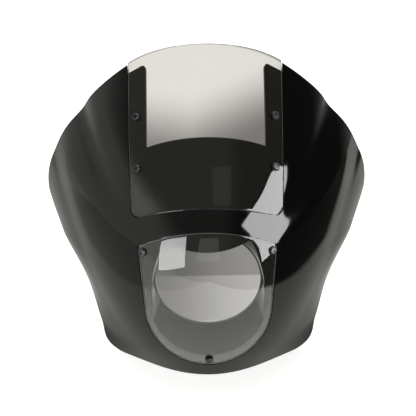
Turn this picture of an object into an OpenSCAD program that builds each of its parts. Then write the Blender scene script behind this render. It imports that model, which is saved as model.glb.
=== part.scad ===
// Headlight cowl with wide side wings, for a motorcycle with a round headlight.
// The origin is the centre of the headlight hole, in the plane of the hole's back face.
// +Z is up, -Y is the way the motorcycle faces and X runs across it. Millimetres.
//
// The skin is one loft. At each height its plan is a conic: nose radius R and fullness k,
// so that x*x = 2*R*t - k*t*t at a distance t behind the nose line.

/* [Nose line] */
// How far the nose stands in front of the headlight hole
nose_reach = 62; // [54:1:70]
// Foremost point of the nose, below the headlight axis
nose_drop = 32; // [20:1:44]
// Slope that the nose line leans back to, far above the nose
nose_lean = 1.9; // [1.7:0.05:2.1]
// Length over which the nose line bends back
nose_bend = 400; // [370:5:440]

/* [Levels] */
// Bottom rim, below the headlight axis
rim_drop = 150; // [146:1:156]
// Chin level, below the headlight axis
chin_drop = 115; // [105:1:125]
// Lamp level, above the headlight axis
lamp_z = 5; // [-5:1:15]
// Brow level, above the headlight axis
brow_z = 130; // [120:1:140]
// Crown level, above the headlight axis
crown_z = 290; // [280:1:300]

/* [Plan at each level] */
// Nose radius at the rim
rim_radius = 110; // [100:1:120]
// Fullness at the rim, below 0 where the plan opens outwards
rim_full = -0.5; // [-0.7:0.05:-0.3]
// Nose radius at the chin
chin_radius = 144; // [134:1:154]
// Fullness at the chin
chin_full = 0.62; // [0.5:0.02:0.7]
// Nose radius at the lamp
lamp_radius = 155; // [148:1:165]
// Fullness at the lamp
lamp_full = 0.42; // [0.34:0.02:0.5]
// Nose radius at the brow
brow_radius = 190; // [180:1:200]
// Fullness at the brow
brow_full = 0.5; // [0.42:0.02:0.58]
// Nose radius at the crown
crown_radius = 110; // [104:1:118]
// Fullness at the crown
crown_full = 0.15; // [0.05:0.05:0.25]

/* [Wings] */
// How far the wings reach behind the headlight hole
wing_reach = 178; // [168:1:188]
// Height above which the wing's back edge stands straight
wing_z = 60; // [50:1:75]
// How far the bottom corners reach behind the headlight hole
heel_reach = 45; // [38:1:55]
// Radius of the bottom corners
heel_r = 14; // [8:1:20]
// Height at which the valley runs out over the wing's edge
notch_z = 190; // [180:1:198]
// Depth of the valley between body and cheek
valley_depth = 8; // [4:0.5:11]
// Reach of the valley to either side
valley_reach = 15; // [11:1:18]
// How far the wing's back edge runs forward from the notch up to the crown
tip_run = 5; // [0:0.5:8]
// Slope of the flared skirt under its crease
flare_slope = 0.14; // [0.08:0.01:0.2]
// Height of the crease above the rim, at the chin
crease_low = 20; // [16:1:24]
// Rise of the crease from the chin to the wing's edge
crease_rise = 67; // [55:1:75]

/* [Walls] */
// Thickness of the moulded shell
wall = 3; // [2.4:0.1:3.6]
// Thickness of the windscreen and the lens cover
glazing = 3; // [2:0.1:4]
// Gap between a pane and the seat behind it
seat_gap = 0.3; // [0.2:0.05:0.5]
// Gap round the edge of a pane
edge_gap = 1.2; // [0.8:0.1:2]

/* [Windscreen] */
// Width of the windscreen's rebate
screen_w = 223; // [216:1:230]
// Foot of the rebate, above the headlight axis
screen_foot = 118; // [114:1:122]
// Radius of the foot's arch
foot_arch_r = 256; // [230:2:280]
// Radius of the foot's corners
foot_corner_r = 16; // [12:1:20]
// Top of the windscreen, above the headlight axis
screen_top = 298; // [290:1:304]
// Radius of the windscreen's top arch
top_arch_r = 196; // [190:1:204]
// How far each side of the rebate leans outwards, up to the windscreen's top
screen_lean = 3.9; // [2:0.1:5]
// Width of the posts on both sides of the cut-out
post_w = 26; // [25:0.5:30]
// Height of the screen's seat from the rebate's foot to the cut-out's floor
seat_h = 82; // [74:1:88]
// Radius of the cut-out floor's arch
cut_arch_r = 213; // [200:1:230]
// How far the posts end below the windscreen's top arch
post_drop = 9.5; // [7:0.5:11]
// Radius of the posts' inner top corners
post_corner_r = 6; // [4:1:8]

/* [Headlight recess] */
// Diameter of the headlight hole
hole_d = 152; // [148:1:154]
// Thickness of the plate round the hole
plate_t = 3; // [2.5:0.1:4]
// Width of the flat ring in front of the hole's edge
ring_w = 1.5; // [1:0.1:2]
// How much wider than the hole the recess mouth is, on each side
mouth_side = 8; // [6:0.5:10]
// How far the recess mouth reaches below the hole
mouth_low = 29; // [27:0.5:31]
// How far the lip hangs down over the hole, at its middle
lip_hang = 11; // [8:0.5:13]
// Rise of the lip's ears over its middle
ear_rise = 11; // [9:0.5:12]
// How far the gussets under the ears narrow the mouth
gusset_w = 12; // [9:1:14]

/* [Lens cover] */
// Width of the lens seat at its sides
seat_w = 10; // [9:0.5:12]
// Width of the lens seat at its bottom
seat_low_w = 21; // [18:0.5:24]
// Width of the lip that is the lens seat's top, at its middle
lip_w = 26.5; // [24:0.5:29]
// Radius of the lens top's arch
lens_arch_r = 190; // [182:1:200]
// How much wider the rebate is at its top corners than at its round bottom, on each side
lens_flare = 7.5; // [5:0.5:10]
// Height at which the round bottom starts, below the headlight axis
lens_bend_drop = 30; // [24:1:36]

/* [Fasteners] */
// Thread diameter of the screws
screw_d = 6; // [5:0.5:6]
// Clearance of a screw in its hole, on the diameter
hole_clearance = 0.8; // [0.5:0.1:1.2]
// Diameter of a screw's button head
head_d = 10.6; // [9.5:0.1:11]
// Height of a screw's button head
head_h = 3.3; // [2.7:0.1:3.6]
// Height of the upright edge of a screw's head
head_rim = 0.6; // [0.3:0.1:1]
// Width across flats of the hexagon socket
socket_af = 4; // [3:0.5:4]
// Outer diameter of the washers
washer_d = 12.4; // [12:0.1:13]
// Thickness of a nylon washer under a head
nylon_t = 0.8; // [0.5:0.1:1.2]
// Thickness of a steel washer behind the shell
steel_t = 1.2; // [1:0.1:1.6]
// Width across flats of a nut
nut_af = 10; // [9:0.5:10]
// Height of a nut
nut_h = 6; // [5:0.5:7]
// Free end of a windscreen screw behind its nut, for a fork bracket
stud_free = 10; // [8:1:14]
// Free end of a lens screw behind its nut
tail = 1; // [1:0.5:3]
// Distance of the windscreen screws from the rebate's side
screen_screw_in = 12.5; // [11.5:0.5:14]
// Heights of the windscreen screws above the rebate's foot
screen_screw_up = [38, 93]; // [30:1:100]
// Upper lens screws, inwards and down from the rebate's corners
lens_screw_in = [8, 7]; // [6:0.5:9]
// Lower lens screw, below the recess mouth
lens_screw_low = 8; // [7.5:0.5:9.5]

/* [Hidden] */
$fn = 48;
// Finest step at which the skin is felt for its normal, along the plan and up
feel = [0.02, 0.2];
// Softness of the crease and roundness of the valley's floor
crease_soft = 16;
valley_floor_r = 9;
// Distance across the valley for each unit of spread
valley_scale = 18;
// Where along its way the valley starts and is full
valley_start = 0.02;
valley_full = 0.65;
// How far the valley bows towards the middle, in spread
valley_bow = 0.9;
// Place of the crease's foot, and its run, from the middle outwards
crease_x = 78;
// Width of the skin at the very tip beside the windscreen
tip_w = 6;
// Power by which the wing's back edge runs forward to the heel
heel_power = 1.15;
// Shape of the gussets' inner edge
gusset_power = 2.6;

// Counts of grid cells, each along its stretch
n_side = 10;      // windscreen's side
n_corner = 4;     // windscreen's foot corner
n_foot = 9;       // half the windscreen's foot
n_ridge = 6;      // from the windscreen's foot to the lens top
n_lens_side = 14; // lens side
n_bowl = 18;      // half the lens bottom
n_heel = 4;       // rounded bottom corner of a wing
n_rim = 8;        // half the bottom rim
n_across = 12;    // from the panes to the wing's edge
n_seat = 4;       // across the windscreen's seat
n_round = 3;      // a post's inner top corner
n_lip = 10;       // half the lip
n_rings = 7;      // from the middle of the lens cover to its edge

n_top = n_corner + n_foot;
n_valley = n_side + n_ridge;
n_half = n_valley + n_lens_side + n_bowl;
n_back = n_half - n_valley - n_heel - n_rim;
n_u = n_side + n_top;
n_lens = n_top + n_lens_side + n_bowl;

rebate = glazing + seat_gap;
hole_r = hole_d/2;
cut_w = screen_w - 2*post_w;
cut_floor = screen_foot + seat_h;
mouth_w = hole_d + 2*mouth_side;
mouth_drop = hole_r + mouth_low;
lip_z = hole_r - lip_hang;
ear_z = lip_z + ear_rise;
lens_bend_z = -lens_bend_drop;
lens_low_w = mouth_w + 2*seat_w;
lens_w = lens_low_w + 2*lens_flare;
lens_top = lip_z + lip_w;
mouth_h = mouth_drop - lens_bend_drop;
bowl_h = mouth_h + seat_low_w;

levels = [-rim_drop, -chin_drop, lamp_z, brow_z, crown_z];
radii = [rim_radius, chin_radius, lamp_radius, brow_radius, crown_radius];
fullness = [rim_full, chin_full, lamp_full, brow_full, crown_full];

// Small helpers
function sq(v) = v*v;
function lerp(a, b, t) = (1 - t)*a + t*b;
function clamp01(t) = max(0, min(1, t));
function ease(t) = let (c = clamp01(t)) c*c*(3 - 2*c);
function soft_ramp(d, r) = (d + sqrt(d*d + r*r) - r)/2;
function arch(top, r, x) = top - r + sqrt(r*r - x*x);

// Smooth curve through the values at the levels
function span(z, i = 0) =
    (i >= len(levels) - 2 || z < levels[i + 1]) ? i : span(z, i + 1);
function slope(v, i) =
    let (a = max(i - 1, 0), b = min(i + 1, len(levels) - 1))
    (v[b] - v[a])/(levels[b] - levels[a]);
function at_level(v, z) =
    let (
        c = max(levels[0], min(levels[len(levels) - 1], z)),
        i = span(c),
        h = levels[i + 1] - levels[i],
        t = (c - levels[i])/h
    )
    (2*t*t*t - 3*t*t + 1)*v[i] + (t*t*t - 2*t*t + t)*h*slope(v, i)
    + (3*t*t - 2*t*t*t)*v[i + 1] + (t*t*t - t*t)*h*slope(v, i + 1);

// The nose line and the wing's back edge, seen from the side
function nose_y(z) =
    -nose_reach + nose_lean*nose_bend*(sqrt(1 + sq((z + nose_drop)/nose_bend)) - 1);
function back_y(z) =
    wing_reach - tip_run*sq(max(0, z - notch_z)/(crown_z - notch_z))
    - (wing_reach - heel_reach)*pow(clamp01((wing_z - z)/(wing_z + rim_drop)), heel_power);

// A place on the skin is [spread, height], where spread squared is the distance
// behind the nose line, and its sign is the side
function plan_x(w, z) = w*sqrt(2*at_level(radii, z) - at_level(fullness, z)*w*w);
function place(x, z) =
    let (r = at_level(radii, z), k = at_level(fullness, z))
    [x/sqrt(r + sqrt(r*r - k*x*x)), z];
function edge(z) = [sqrt(back_y(z) - nose_y(z)), z];
function edge_x(z) = plan_x(edge(z)[0], z);
// The windscreen and its rebate are drawn upright, and widened by this towards the top
function lean(z) =
    1 + screen_lean/(screen_w/2)*max(0, z - screen_foot)/(screen_top - screen_foot);
function leaning(x, z) = place(x*lean(z), z);
// Height at which the wing's upper back edge crosses the leaning line of x
function edge_z(x, lo = notch_z, hi = crown_z, n = 24) =
    n == 0 ? (lo + hi)/2
    : edge_x((lo + hi)/2) > x*lean((lo + hi)/2) ? edge_z(x, (lo + hi)/2, hi, n - 1)
    : edge_z(x, lo, (lo + hi)/2, n - 1);

// The valley runs from the lens corner to the notch, and fades towards the lens
lens_corner_z = arch(lens_top, lens_arch_r, lens_w/2);
lens_corner = place(lens_w/2, lens_corner_z);
notch = edge(notch_z);
function bow(t) = -valley_bow*27/4*t*t*(1 - t);
function valley(w, z) =
    let (
        t = (z - lens_corner[1])/(notch[1] - lens_corner[1]),
        mid = lerp(lens_corner[0], notch[0], t) + (t > 0 ? bow(t) : 0),
        d = valley_scale*(abs(w) - mid),
        along = ease((t - valley_start)/(valley_full - valley_start))
    )
    -valley_depth*along*exp(-(norm([d, valley_floor_r]) - valley_floor_r)/valley_reach);

// The skirt flares out under a crease that climbs towards the wing's edge
function crease(x) =
    -rim_drop + crease_low + crease_rise*sq(max(abs(x) - crease_x, 0)/crease_x);
function flare(x, z) = flare_slope*soft_ramp(crease(x) - z, crease_soft);

// The outer skin, its normal, and the place at a depth under it
function skin(w, z) =
    let (
        r = at_level(radii, z),
        k = at_level(fullness, z),
        x = w*sqrt(2*r - k*w*w),
        out = [x, k*w*w - r]/norm([x, k*w*w - r]),
        d = flare(x, z) + valley(w, z)
    )
    [x + d*out[0], nose_y(z) + w*w + d*out[1], z];
function normal(w, z) =
    let (
        n = cross(
            skin(w + feel[0], z) - skin(w - feel[0], z),
            skin(w, z + feel[1]) - skin(w, z - feel[1])
        )
    )
    n/norm(n);
function under(p, depth) = skin(p[0], p[1]) - depth*normal(p[0], p[1]);

// Outline of the windscreen's rebate, set outwards by o
function foot_z(x, o) =
    let (
        r = foot_corner_r + o,
        past = max(0, abs(x) - (screen_w/2 + o - r))
    )
    arch(screen_foot, foot_arch_r, x) - o + r - sqrt(max(0, r*r - past*past));
function crown(x) = arch(screen_top, top_arch_r, x);
// From the tip down the side, round the foot's corner and along the foot to the middle
function screen_path(o, top) =
    let (a = screen_w/2 + o, r = foot_corner_r + o)
    [
        for (i = [0:n_side - 1]) leaning(a, lerp(top, foot_z(a, o), i/n_side)),
        for (i = [0:n_corner - 1])
            let (x = a - r + r*cos(90*i/n_corner)) place(x, foot_z(x, o)),
        for (i = [0:n_foot])
            let (x = (a - r)*(1 - i/n_foot)) place(x, foot_z(x, o))
    ];

// Outline of the cut-out, from a post's top round its corner to the middle of the floor
function post_z(x) =
    let (past = max(0, cut_w/2 + post_corner_r - x))
    crown(x) - post_drop - post_corner_r + sqrt(max(0, sq(post_corner_r) - past*past));
cut_path = let (a = cut_w/2, r = post_corner_r) [
    for (i = [0:n_round - 1])
        let (x = a + r - r*sin(90*i/n_round)) leaning(x, post_z(x)),
    for (i = [0:n_side - n_round - 1])
        leaning(a, lerp(post_z(a), arch(cut_floor, cut_arch_r, a), i/(n_side - n_round))),
    for (i = [0:n_top])
        let (x = a*(1 - i/n_top)) leaning(x, arch(cut_floor, cut_arch_r, x))
];

// Outline of the lens rebate, set outwards by o, from the top's middle to the bottom's
function lens_path(o) =
    let (a = lens_w/2 + o, b = lens_low_w/2 + o, top = arch(lens_top, lens_arch_r, a) + o)
    [
        for (i = [0:n_top - 1])
            let (x = a*i/n_top) place(x, arch(lens_top, lens_arch_r, x) + o),
        for (i = [0:n_lens_side - 1])
            let (t = i/n_lens_side) place(lerp(a, b, t), lerp(top, lens_bend_z, t)),
        for (i = [0:n_bowl])
            let (q = 90*i/n_bowl) place(b*cos(q), lens_bend_z - (bowl_h + o)*sin(q))
    ];

// Where on the gusset the lens corner's grid line ends
gusset_z = lens_corner_z - lens_screw_in[1];
// Mouth of the headlight recess, in the same order: lip, gusset, side and bottom
function gusset_x(z) =
    mouth_w/2
    - gusset_w*pow(max(0, z - lens_bend_z)/(gusset_z - lens_bend_z), gusset_power);
mouth = [
    for (i = [0:n_lip - 1])
        let (t = i/n_lip) [gusset_x(ear_z)*t, lerp(lip_z, ear_z, t*t)],
    for (i = [0:n_top - n_lip - 1])
        let (z = lerp(ear_z, gusset_z, i/(n_top - n_lip))) [gusset_x(z), z],
    for (i = [0:n_lens_side - 1])
        let (z = lerp(gusset_z, lens_bend_z, i/n_lens_side)) [gusset_x(z), z],
    for (i = [0:n_bowl])
        let (q = 90*i/n_bowl)
        [mouth_w/2*cos(q), lens_bend_z - mouth_h*sin(q)]
];
// The mouth set outwards by o, as places on the skin
function mouth_path(o) = [for (p = mouth) let (q = p*(1 + o/norm(p))) place(q[0], q[1])];
// The mouth's points thrown onto a circle in the plane y
function ring(r, y) = [for (p = mouth) let (q = r*p/norm(p)) [q[0], y, q[1]]];

// The wing's free edge, from the tip over the notch and the heel to the rim's middle
wing_edge = let (
    tip = edge_z(screen_w/2 + tip_w),
    heel_z = -rim_drop + heel_r,
    turn = edge(-rim_drop),
    start = edge(heel_z),
    stop = place(plan_x(turn[0], -rim_drop) - heel_r, -rim_drop)
) [
    for (i = [0:n_valley - 1]) edge(lerp(tip, notch_z, i/n_valley)),
    for (i = [0:n_back - 1]) edge(lerp(notch_z, heel_z, i/n_back)),
    for (i = [0:n_heel - 1])
        let (t = i/n_heel) (1 - t)*(1 - t)*start + 2*t*(1 - t)*turn + t*t*stop,
    for (i = [0:n_rim]) [stop[0]*(1 - i/n_rim), -rim_drop]
];

// The ridge between the windscreen's foot and the lens top: column i, step c
function ridge(foot, lens, i, c) =
    let (t = c/n_ridge)
    lerp(foot[n_side + i], lens[n_top - i], t);

// Everything on one side of the wall: the front at depth 0, or the back under the wall
function skin_rows(foot, lens, depth) =
    let (
        inner = [
            for (i = [0:n_side - 1]) foot[i],
            for (c = [0:n_ridge]) ridge(foot, lens, 0, c),
            for (i = [n_top + 1:n_lens]) lens[i]
        ]
    )
    [
        for (i = [0:n_half])
            let (pull = exp(-sq((i - n_valley)/6)))
            [
                for (j = [0:n_across])
                    let (t = j/n_across)
                    under(lerp(inner[i], wing_edge[i], t) + [pull*bow(t), 0], depth)
            ]
    ];
function ridge_rows(foot, lens, depth) = [
    for (i = [0:n_top]) [for (c = [0:n_ridge]) under(ridge(foot, lens, i, c), depth)]
];
function seat_rows(low, depth) = [
    for (i = [0:n_u]) [for (j = [0:n_seat]) under(lerp(low[i], cut_path[i], j/n_seat), depth)]
];
function lay(path, depth) = [for (p = path) under(p, depth)];
function between(a, b, t) = [for (i = [0:len(a) - 1]) lerp(a[i], b[i], t)];
// The lens seat, from the rebate's outline to the recess mouth
function lens_seat(lens, rim, depth) = [
    for (j = [0:n_seat]) lay(between(lens, rim, j/n_seat), depth)
];
function turned(rows) = [for (i = [len(rows) - 1:-1:0]) rows[i]];

// Triangles of a grid of points, with its other diagonal where it is turned over
function grid(rows, over = false) = [
    for (i = [0:len(rows) - 2], j = [0:len(rows[0]) - 2])
        let (a = rows[i][j], b = rows[i][j + 1], c = rows[i + 1][j + 1], d = rows[i + 1][j])
        each over ? [[a, c, b], [a, d, c]] : [[a, b, c], [a, c, d]]
];
function column(rows, j) = [for (r = rows) r[j]];
function mirrored(tris) = [
    for (t = tris) [for (k = [2:-1:0]) [-t[k][0], t[k][1], t[k][2]]]
];
module solid(half) {
    tris = concat(half, mirrored(half));
    polyhedron(
        points = [for (t = tris) each t],
        faces = [for (i = [0:len(tris) - 1]) [3*i, 3*i + 1, 3*i + 2]]
    );
}

// The right half of the shell as triangles
function shell_half() =
    let (
        back = rebate + wall,
        foot = screen_path(0, edge_z(screen_w/2)),
        foot_b = screen_path(wall, edge_z(screen_w/2 + wall)),
        low = screen_path(0, post_z(screen_w/2)),
        low_b = screen_path(wall, post_z(screen_w/2 + wall)),
        lens = lens_path(0),
        lens_b = lens_path(wall),
        seat_f = lens_seat(lens, mouth_path(0), rebate),
        seat_b = lens_seat(lens_b, mouth_path(wall), back),
        ring_f = ring(hole_r + ring_w, -plate_t),
        ring_b = ring(hole_r + ring_w + wall, -plate_t),
        skin_f = skin_rows(foot, lens, 0),
        skin_b = skin_rows(foot_b, lens_b, wall),
        post_f = seat_rows(low, rebate),
        post_b = seat_rows(low_b, back),
        recess = [
            lay(lens, 0), each seat_f,
            between(seat_f[n_seat], ring_f, 0.5), ring_f,
            ring(hole_r - ring_w, -plate_t), ring(hole_r - ring_w, 0),
            ring(hole_r + ring_w + wall, 0), ring_b,
            between(seat_b[n_seat], ring_b, 0.5),
            each turned(seat_b), lay(lens_b, wall)
        ]
    )
    concat(
        grid(skin_f),
        grid(skin_b, true),
        grid([column(skin_f, n_across), column(skin_b, n_across)], true),
        grid([skin_b[0], skin_f[0]]),
        grid(ridge_rows(foot, lens, 0)),
        grid(ridge_rows(foot_b, lens_b, wall), true),
        grid([lay(foot, 0), lay(low, rebate)]),
        grid([lay(foot_b, wall), lay(low_b, back)], true),
        grid(post_f, true),
        grid(post_b),
        grid([column(post_f, n_seat), column(post_b, n_seat)]),
        grid([post_b[0], post_f[0]], true),
        grid([[skin_f[0][0], post_f[0][0]], [skin_b[0][0], post_b[0][0]]]),
        grid(recess)
    );

// Puts its child on the skin at x and z, with +Z along the outward normal
module on_skin(x, z) {
    p = place(x, z);
    n = normal(p[0], p[1]);
    translate(skin(p[0], p[1]))
        rotate([0, acos(n[2]), atan2(n[1], n[0])])
            children();
}
module at_screen_screws() {
    for (s = [-1, 1], up = screen_screw_up)
        let (z = screen_foot + up)
            on_skin(s*(screen_w/2 - screen_screw_in)*lean(z), z) children();
}
module at_lens_screws() {
    for (s = [-1, 1])
        on_skin(s*(lens_w/2 - lens_screw_in[0]), lens_corner_z - lens_screw_in[1]) children();
    on_skin(0, -mouth_drop - lens_screw_low) children();
}
module screw_hole() {
    translate([0, 0, -2*(rebate + wall)])
        cylinder(h = 4*(rebate + wall), d = screw_d + hole_clearance);
}

// A moulded shell with a rebate for each pane and a recess for the headlight
module cowl_shell() {
    color("#141414")
        difference() {
            solid(shell_half());
            rotate([90, 0, 0])
                translate([0, 0, -plate_t/2])
                    cylinder(h = 2*plate_t, r = hole_r, $fn = 96);
            at_screen_screws() screw_hole();
            at_lens_screws() screw_hole();
        }
}

// The windscreen follows the skin, and fills its rebate to the level of the skin
module windscreen() {
    o = -edge_gap;
    a = screen_w/2 + o;
    r = foot_corner_r + o;
    xs = [
        for (i = [0:n_foot - 1]) (a - r)*i/n_foot,
        for (i = [0:n_corner]) a - r + r*sin(90*i/n_corner)
    ];
    rows = function (depth) [
        for (x = xs)
            [for (j = [0:n_foot]) under(leaning(x, lerp(foot_z(x, o), crown(x), j/n_foot)), depth)]
    ];
    front = rows(0);
    back = rows(glazing);
    half = concat(
        grid(front, true),
        grid(back),
        grid([column(front, 0), column(back, 0)], true),
        grid([column(front, n_foot), column(back, n_foot)]),
        grid([front[len(xs) - 1], back[len(xs) - 1]], true)
    );
    color("#B9B4AC", 0.4)
        difference() {
            solid(half);
            at_screen_screws() screw_hole();
        }
}

// The lens cover fills the lens rebate in the same way
module lens_cover() {
    edge_path = lens_path(-edge_gap);
    hub = place(0, -lens_bend_drop/3);
    rows = function (depth) [
        for (j = [0:n_rings])
            [for (p = edge_path) under(lerp(hub, p, j/n_rings), depth)]
    ];
    front = rows(0);
    back = rows(glazing);
    fan = function (rows, over) [
        for (i = [0:len(edge_path) - 2])
            over ? [rows[0][0], rows[1][i + 1], rows[1][i]]
                 : [rows[0][0], rows[1][i], rows[1][i + 1]]
    ];
    tail_rows = function (rows) [for (j = [1:n_rings]) rows[j]];
    half = concat(
        fan(front, false),
        fan(back, true),
        grid(tail_rows(front), true),
        grid(tail_rows(back)),
        grid([front[n_rings], back[n_rings]], true)
    );
    color("#C9C6C0", 0.4)
        difference() {
            solid(half);
            at_lens_screws() screw_hole();
        }
}

// A button-head screw with a hexagon socket; z = 0 is the skin under its washer
module screw(length) {
    dome_h = head_h - head_rim;
    dome_r = (sq(head_d/2) + sq(dome_h))/(2*dome_h);
    translate([0, 0, nylon_t + seat_gap])
        difference() {
            union() {
                intersection() {
                    cylinder(h = head_h, d = head_d);
                    translate([0, 0, head_h - dome_r]) sphere(r = dome_r);
                }
                translate([0, 0, -length]) cylinder(h = length + head_h/2, d = screw_d);
            }
            translate([0, 0, head_h/2])
                cylinder(h = head_h, d = socket_af/cos(30), $fn = 6);
        }
}
module washer(bottom, t) {
    translate([0, 0, bottom])
        difference() {
            cylinder(h = t, d = washer_d);
            translate([0, 0, -t]) cylinder(h = 3*t, d = screw_d + hole_clearance/2);
        }
}
module nut(bottom) {
    translate([0, 0, bottom])
        difference() {
            cylinder(h = nut_h, d = nut_af/cos(30), $fn = 6);
            translate([0, 0, -nut_h]) cylinder(h = 3*nut_h, d = screw_d + seat_gap);
        }
}
steel_z = -rebate - wall - seat_gap - steel_t;
nut_z = steel_z - nut_h;
shank = nylon_t + seat_gap - nut_z;

module windscreen_screws() { color("#1C1C1C") at_screen_screws() screw(shank + stud_free); }
module windscreen_nylon_washers() { color("#202020") at_screen_screws() washer(seat_gap, nylon_t); }
module windscreen_steel_washers() { color("#9A9C9E") at_screen_screws() washer(steel_z, steel_t); }
module windscreen_nuts() { color("#8E9092") at_screen_screws() nut(nut_z); }
module lens_screws() { color("#1C1C1C") at_lens_screws() screw(shank + tail); }
module lens_nylon_washers() { color("#202020") at_lens_screws() washer(seat_gap, nylon_t); }
module lens_steel_washers() { color("#9A9C9E") at_lens_screws() washer(steel_z, steel_t); }
module lens_nuts() { color("#8E9092") at_lens_screws() nut(nut_z); }

cowl_shell();
windscreen();
lens_cover();
windscreen_screws();
windscreen_nylon_washers();
windscreen_steel_washers();
windscreen_nuts();
lens_screws();
lens_nylon_washers();
lens_steel_washers();
lens_nuts();
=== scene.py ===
"""Dressed model of a motorcycle headlight cowl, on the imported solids.

Lengths in the classes are millimetres, and meshes are written in metres.
"""
import logging
import math
from collections.abc import Callable
from dataclasses import dataclass, field
from enum import Enum

import bmesh
import bpy
import numpy as np
from mathutils import Matrix, Vector

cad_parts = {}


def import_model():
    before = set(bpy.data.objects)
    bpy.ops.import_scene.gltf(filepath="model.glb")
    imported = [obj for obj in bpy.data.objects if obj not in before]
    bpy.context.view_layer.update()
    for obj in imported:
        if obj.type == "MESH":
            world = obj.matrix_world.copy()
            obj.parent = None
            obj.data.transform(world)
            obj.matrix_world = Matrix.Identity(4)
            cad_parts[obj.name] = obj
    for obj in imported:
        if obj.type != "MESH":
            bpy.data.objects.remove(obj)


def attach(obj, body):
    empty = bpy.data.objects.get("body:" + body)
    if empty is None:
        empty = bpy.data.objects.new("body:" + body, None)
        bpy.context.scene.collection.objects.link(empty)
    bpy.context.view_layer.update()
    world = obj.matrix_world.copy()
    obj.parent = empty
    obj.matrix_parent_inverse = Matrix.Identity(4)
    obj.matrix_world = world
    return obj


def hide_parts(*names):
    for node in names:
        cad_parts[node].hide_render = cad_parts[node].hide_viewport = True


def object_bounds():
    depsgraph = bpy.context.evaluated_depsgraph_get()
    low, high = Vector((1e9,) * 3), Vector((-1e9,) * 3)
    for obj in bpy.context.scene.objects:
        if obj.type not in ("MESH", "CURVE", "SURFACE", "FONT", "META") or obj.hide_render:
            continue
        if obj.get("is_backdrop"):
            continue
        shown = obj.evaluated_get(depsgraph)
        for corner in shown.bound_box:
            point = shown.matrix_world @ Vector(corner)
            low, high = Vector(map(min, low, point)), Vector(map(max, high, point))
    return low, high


LOG = logging.getLogger("cowl")
MM = 0.001
MERGE = 0.00001  # metres within which points become one
BODY = "root"
HEX = math.cos(math.pi/6)  # width across flats of a hexagon, over corners
SMOOTH = {"interpolation_type": "SMOOTHSTEP"}
Array = np.ndarray


# Small helpers

def lerp(a: Array | float, b: Array | float, t: Array | float) -> Array | float:
    """Blend from a to b, exact at both ends."""
    return (1 - t)*a + t*b


def ease(t: Array) -> Array:
    """Smooth step from 0 to 1."""
    c = np.clip(t, 0.0, 1.0)
    return c*c*(3 - 2*c)


def arch(top: float, r: float, x: Array) -> Array:
    """Height of a circular arch with its highest point at top."""
    return top - r + np.sqrt(r*r - x*x)


def places(w: Array, z: Array) -> Array:
    """Put spreads and heights side by side as rows of [spread, height]."""
    return np.stack(np.broadcast_arrays(w, z), axis=-1).astype(float)


def linear(hex_colour: str) -> tuple[float, float, float, float]:
    """Turn an sRGB hex colour into linear red, green, blue and alpha 1.

    Args:
        hex_colour: Colour such as "#1A1B1C".

    Returns:
        The linear colour.
    """
    raw = [int(hex_colour[i:i + 2], 16)/255 for i in (1, 3, 5)]
    r, g, b = (c/12.92 if c <= 0.04045 else ((c + 0.055)/1.055)**2.4 for c in raw)
    return (r, g, b, 1.0)


def add_node(tree: bpy.types.NodeTree, kind: str, settings: dict | None = None,
             **sockets: object) -> bpy.types.Node:
    """Add one node, set its properties and fill or link its inputs.

    Args:
        tree: Node tree that takes the node.
        kind: Node type without its ShaderNode prefix.
        settings: Properties of the node by name.
        **sockets: Values, or nodes or output sockets to link, by input name or number.

    Returns:
        The new node.
    """
    node = tree.nodes.new("ShaderNode" + kind)
    for name, value in (settings or {}).items():
        setattr(node, name, value)
    for name, value in sockets.items():
        key = int(name[1:]) if name[0] == "_" else name.replace("_", " ")
        if isinstance(value, bpy.types.Node):
            value = value.outputs[0]
        if isinstance(value, bpy.types.NodeSocket):
            tree.links.new(value, node.inputs[key])
        else:
            node.inputs[key].default_value = value
    return node


@dataclass(frozen=True)
class Ramp:
    """Range from start to end, and the values that it runs through there."""

    start: float
    end: float
    first: float = 0.0
    last: float = 1.0

    def sockets(self) -> dict[str, float]:
        """Inputs of a map range node."""
        return {"_1": self.start, "_2": self.end, "_3": self.first, "_4": self.last}


# The skin, by the same rule as the solids

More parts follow.
